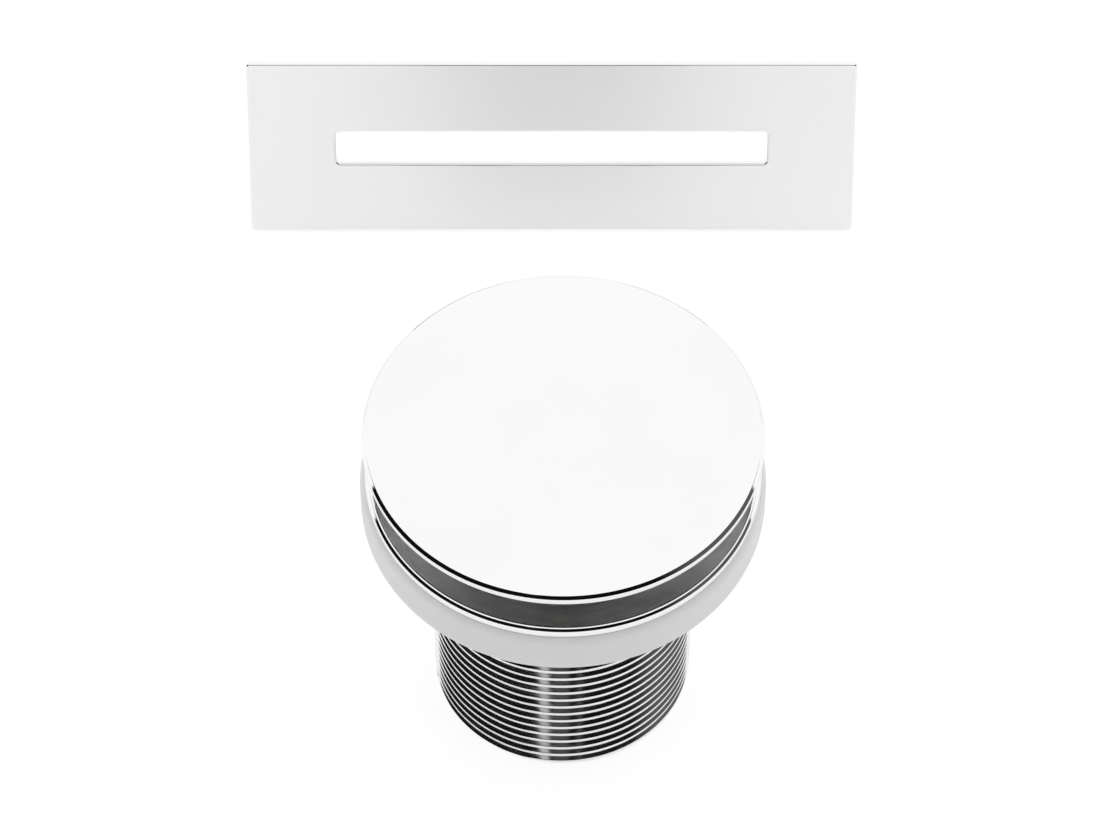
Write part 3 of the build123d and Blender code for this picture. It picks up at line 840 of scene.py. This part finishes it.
class MakeOverflow(bpy.types.Operator):
    """Makes the slotted cover, and the duct, frame seal and finned grip behind it."""

    bl_idname = "bath.overflow"
    bl_label = "Overflow cover"
    arc = np.linspace(0, np.pi / 2, 6)[:, None]

    def execute(self, context):
        s = context.scene.overflow_sizes
        plate = np.array([s.plate_width, s.plate_height, s.plate_corner, s.plate_height / 2, 0.0])
        seal_back = s.plate_thickness + 3 * MM
        self.cover(s, plate)
        self.duct(s)
        self.seal(s, plate, seal_back)
        self.grip(s, seal_back)
        return {"FINISHED"}

    def cover(self, s, plate):
        """The plate: rows from the slot's back over its front edge, the face and the outer edge to the back.

        The back ends in a collar inside the duct. The face is satin and everything else polished.
        """
        slot = np.array([s.slot_width, s.slot_height, s.slot_corner, s.plate_height / 2, 0.0])
        soft = s.plate_edge * (1 - np.sin(self.arc))
        deep = s.plate_edge * (1 - np.cos(self.arc))
        back, broken = s.plate_thickness, 0.15 * MM
        out, inner, behind = -1.9 * MM, -3.3 * MM, back + 5 * MM
        rows = np.concatenate(
            [
                (slot + back * SINK)[None],
                (slot + 2 * s.plate_edge * SINK)[None],
                (slot + GROW * soft + SINK * deep)[::-1],
                (slot + GROW * 1.5 * s.plate_edge)[None],
                (plate - GROW * 1.5 * s.plate_edge)[None],
                plate - GROW * soft + SINK * deep,
                (plate + 2 * s.plate_edge * SINK)[None],
                (plate + (back - broken) * SINK)[None],
                (plate - broken * GROW + back * SINK)[None],
                duct_rows(s, [(out, back), (out, behind), (inner, behind), (inner, back)]),
            ]
        )
        vertices, quads, fans = loops(rows)
        row = np.arange(len(quads)) // (len(quads) // len(rows))
        first = len(self.arc) + 1
        number = np.where((row >= first) & (row <= first + 2), 0, 1)
        shells, finishes = [(vertices, quads, fans, number)], ["plate_chrome", "polished_chrome"]
        new_piece("cover_plate", shells, FIXED, ["overflow_plate"], finishes)

    def duct(self, s):
        """An open tube behind the slot, with a rounded end."""
        back = s.plate_thickness
        end = back + s.duct_length
        outline = [(0, back), (0, end), (-s.duct_wall, end), (-s.duct_wall, back)]
        tube = loops(duct_rows(s, rounded(outline, np.array([0, 0.5, 0.5, 0]) * MM)))
        finishes = ["moulded_white_plastic"]
        new_piece("duct_tube", [(*tube, 0)], FIXED, ["overflow_duct"], finishes)

    def seal(self, s, plate, seal_back):
        """A flat frame behind the plate, round the duct, with rounded outer corners and edge."""
        inset, corner, edge = 3.2 * MM, 4 * MM, 0.5 * MM
        outer = plate - GROW * inset
        outer[2] = corner
        soft = GROW * edge * (1 - np.cos(self.arc))
        deep = SINK * (seal_back - edge + edge * np.sin(self.arc))
        rows = np.concatenate(
            [
                (outer + s.plate_thickness * SINK)[None],
                (outer + (seal_back - 2 * edge) * SINK)[None],
                outer - soft + deep,
                duct_rows(s, [(FIT, seal_back), (FIT, s.plate_thickness)]),
            ]
        )
        replaced, finishes = ["overflow_gasket"], ["moulded_black_rubber"]
        new_piece("frame_seal", [(*loops(rows), 0)], FIXED, replaced, finishes)

    def grip(self, s, seal_back):
        """A band round the duct with three fins."""
        band, tip, lean = 0.9 * MM, 1.9 * MM, 0.15 * MM
        fin, pitch, count, width = 1.0 * MM, 2.0 * MM, 3, 5 * MM
        start = seal_back + pitch * np.arange(count)[:, None, None]
        section = np.array([[(band, 0.0), (tip, lean), (tip, fin), (band, fin)]])
        fins = (section + start * np.array([0.0, 1.0])).reshape(-1, 2)
        outline = np.concatenate([[(FIT, seal_back)], fins, [(FIT, seal_back + width)]])
        rounds = np.concatenate([[0], np.tile([0.1, 0.2, 0.2, 0.1], count), [0]]) * MM
        shell = loops(duct_rows(s, rounded(outline, rounds, 4)))
        replaced, finishes = ["overflow_grip"], ["moulded_black_rubber"]
        new_piece("finned_grip", [(*shell, 0)], FIXED, replaced, finishes)


class MakeStage(bpy.types.Operator):
    """Lays the floor, sets the camera and lights the studio."""

    bl_idname = "bath.stage"
    bl_label = "Stage"

    def execute(self, context):
        studio = context.scene.bath_studio
        self.floor(studio)
        self.world(context.scene, studio)
        data = bpy.data.cameras.new("camera")
        data.sensor_width = 36.0
        data.lens = studio.focal
        data.clip_end = 20.0
        camera = bpy.data.objects.new("camera", data)
        camera.location = studio.camera_at
        camera.rotation_euler = (studio.camera_tilt, 0.0, 0.0)
        context.scene.collection.objects.link(camera)
        context.scene.camera = camera
        context.scene.view_settings.view_transform = "Standard"
        return {"FINISHED"}

    def floor(self, studio):
        """A pale square: seen and mirrored nearly white with the part's soft shadow, and clear from below."""
        half = studio.floor_size / 2
        corners = [(-half, -half, 0), (half, -half, 0), (half, half, 0), (-half, half, 0)]
        mesh = bpy.data.meshes.new("floor")
        mesh.from_pydata(corners, [], [(0, 1, 2, 3)])
        material = bpy.data.materials.new("pale_floor")
        material.use_nodes = True
        wires = Wiring(material.node_tree)
        path = wires.add("ShaderNodeLightPath").outputs
        seen = wires.sum("MAXIMUM", path["Is Camera Ray"], path["Is Transmission Ray"])
        above = wires.add("ShaderNodeBsdfDiffuse", {"Color": (0.92, 0.92, 0.92, 1)}).outputs[0]
        for shown, tone, strength in ((path["Is Glossy Ray"], 0.6, 0.45), (seen, 0.45, 0.72)):
            lit = wires.add("ShaderNodeBsdfDiffuse", {"Color": (tone, tone, tone, 1)}).outputs[0]
            glow = wires.add("ShaderNodeEmission", {"Color": (1, 1, 1, 1), "Strength": strength}).outputs[0]
            both = wires.add("ShaderNodeAddShader", {0: lit, 1: glow}).outputs[0]
            above = wires.add("ShaderNodeMixShader", {0: shown, 1: above, 2: both}).outputs[0]
        clear = wires.add("ShaderNodeBsdfTransparent").outputs[0]
        side = wires.add("ShaderNodeNewGeometry").outputs["Backfacing"]
        both = wires.add("ShaderNodeMixShader", {0: side, 1: above, 2: clear}).outputs[0]
        wires.add("ShaderNodeOutputMaterial", {"Surface": both})
        mesh.materials.append(material)
        laid = bpy.data.objects.new("floor", mesh)
        bpy.context.scene.collection.objects.link(laid)

    def world(self, scene, studio):
        """A white studio with a dark area over the front, which the camera doesn't see.

        A direction's tilt is its angle round X, from level at the front to straight up. The dark area
        lies between two tilts. Its upper edge climbs towards both sides and its lower edge falls at
        the left. Narrow gaps let light into it, and its right end is a little lighter. Dull surfaces
        see it start lower and fade towards the sides.
        """
        world = bpy.data.worlds.new("studio")
        world.use_nodes = True
        scene.world = world
        wires = Wiring(world.node_tree)
        way = wires.add("ShaderNodeTexCoord").outputs["Generated"]
        axes = wires.add("ShaderNodeSeparateXYZ", {0: way}).outputs
        across = axes["X"]
        tilt = wires.sum("ARCTAN2", axes["Z"], wires.sum("MULTIPLY", axes["Y"], -1.0))
        path = wires.add("ShaderNodeLightPath").outputs
        aside = wires.sum("ABSOLUTE", across)

        climb = wires.ease(aside, 0.5, 0.8, 0.0, 78 * DEGREE)
        upper = wires.ease(wires.sum("SUBTRACT", tilt, climb), 60 * DEGREE, 66 * DEGREE, 1.0, 0.0)
        fall = wires.ease(across, -0.5, -0.3, 16 * DEGREE, 0.0)
        dull_start, glossy_start = 14 * DEGREE, 27 * DEGREE
        first = wires.spread(path["Is Glossy Ray"], dull_start, glossy_start)
        past = wires.sum("SUBTRACT", wires.sum("ADD", tilt, fall), first)
        area = wires.sum("MULTIPLY", wires.ease(past, 0.0, 8 * DEGREE), upper)

        gap_low = wires.ease(tilt, 40 * DEGREE, 44 * DEGREE)
        gap_high = wires.ease(tilt, 56 * DEGREE, 60 * DEGREE, 1.0, 0.0)
        band = wires.sum("MULTIPLY", gap_low, gap_high)
        dark = wires.sum("ADD", wires.ease(across, 0.6, 0.84, 0.0, 0.09), studio.dark)
        for left, right, soft, strength in (
            (-0.255, -0.14, 0.03, 0.5),
            (-0.118, 0.049, 0.02, 0.06),
            (0.112, 0.172, 0.015, 0.06),
        ):
            opens = wires.ease(across, left, left + soft)
            closes = wires.ease(across, right - soft, right, 1.0, 0.0)
            gap = wires.sum("MULTIPLY", wires.sum("MULTIPLY", opens, closes), band)
            dark = wires.sum("MULTIPLY_ADD", gap, strength, dark)

        span = wires.sum("SUBTRACT", studio.white, dark)
        strength = wires.spread(path["Is Glossy Ray"], wires.ease(aside, 0.35, 0.75, 1.0, 0.1), 1.0)
        taken = wires.sum("MULTIPLY", wires.sum("MULTIPLY", area, span), strength)
        level = wires.sum("SUBTRACT", studio.white, taken)
        shown = wires.sum("MAXIMUM", level, path["Is Camera Ray"])
        back = wires.add("ShaderNodeBackground", {"Color": (1, 1, 1, 1), "Strength": shown})
        wires.add("ShaderNodeOutputWorld", {"Surface": back.outputs[0]})


class BathPanel(bpy.types.Panel):
    """Lists the sizes, the finishes and the operators."""

    bl_idname = "BATH_PT_waste"
    bl_label = "Bath waste"
    bl_space_type = "VIEW_3D"
    bl_region_type = "UI"
    bl_category = "Bath waste"

    def draw(self, context):
        for step in STEPS:
            self.layout.operator(step.bl_idname)
        for group in GROUPS:
            held = getattr(context.scene, group)
            box = self.layout.box()
            for key in held.__annotations__:
                box.prop(held, key)


STEPS = (
    MakeFinishes, MakeWaste, MakeGasket, MakePlug, MakeNuts, MakeBarrel, MakeSpring, MakeOverflow, MakeStage,
)
GROUPS = {
    "waste_sizes": WasteSizes,
    "overflow_sizes": OverflowSizes,
    "bath_finishes": Finishes,
    "bath_studio": Studio,
}


def register():
    """Registers the classes and hangs the sizes and colours on the scene."""
    for kind in (*GROUPS.values(), *STEPS, BathPanel):
        bpy.utils.register_class(kind)
    for name, kind in GROUPS.items():
        setattr(bpy.types.Scene, name, PointerProperty(type=kind))


def unregister():
    """Takes all of it off again, in the reverse order."""
    for name in GROUPS:
        delattr(bpy.types.Scene, name)
    for kind in (BathPanel, *reversed(STEPS), *reversed(GROUPS.values())):
        bpy.utils.unregister_class(kind)


def main():
    """Runs the operators in order."""
    register()
    bpy.ops.bath.finishes()
    bpy.ops.bath.waste()
    bpy.ops.bath.gasket()
    bpy.ops.bath.plug()
    bpy.ops.bath.nuts()
    bpy.ops.bath.barrel()
    bpy.ops.bath.spring()
    bpy.ops.bath.overflow()
    bpy.ops.bath.stage()


if __name__ == "__main__":
    main()
